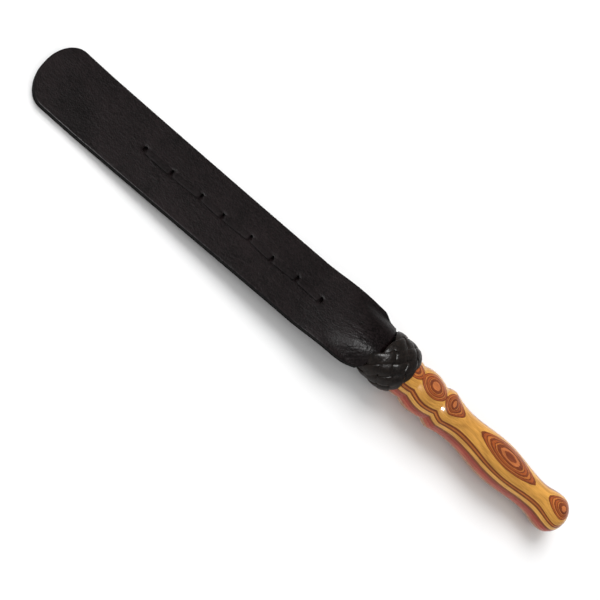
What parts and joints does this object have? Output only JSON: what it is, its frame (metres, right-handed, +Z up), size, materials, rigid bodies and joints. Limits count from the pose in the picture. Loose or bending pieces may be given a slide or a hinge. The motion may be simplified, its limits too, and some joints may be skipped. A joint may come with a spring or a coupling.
{
  "type": "leather strop",
  "caption": "Handled leather strop: a long two-ply leather blade with a round end, laced along its middle and bound to a turned laminated wood handle by a braided knot.",
  "frame": {"origin": "on the resting surface, below the middle of the strop's box", "axes": "+X runs along the strop from the blade's tip to the pommel, +Z is up, away from the surface that the strop lies on, and +Y is across the blade"},
  "size_m": [0.4894, 0.0508, 0.0405],
  "materials": {
    "laminated_wood": "gloss lacquer over dyed laminated wood",
    "blade_leather": "satin, fine pebble grain",
    "lace_leather": "satin",
    "knot_leather": "waxed, slightly glossy",
    "foundation_leather": "matt",
    "waxed_thread": "waxed",
    "tack_steel": "plain"
  },
  "bodies": {
    "handle_end": {"handle": "laminated_wood", "neck_tack_1": "tack_steel", "neck_tack_2": "tack_steel", "neck_tack_3": "tack_steel", "neck_tack_4": "tack_steel", "neck_whipping": "waxed_thread", "knot_foundation": "foundation_leather", "turks_head_lace": "knot_leather"},
    "blade": {"front_ply": "blade_leather", "back_ply": "blade_leather", "center_lace": "lace_leather"}
  },
  "joints": [
    {"name": "blade_flex", "type": "hinge", "parent": "handle_end", "child": "blade", "pos_m": [0.01725, 0, 0.0209], "axis": [0, 1, 0], "range_deg": [0, 25], "stiffness_Nm_per_rad": 0.7, "deforming": ["front_ply", "back_ply"]}
  ]
}
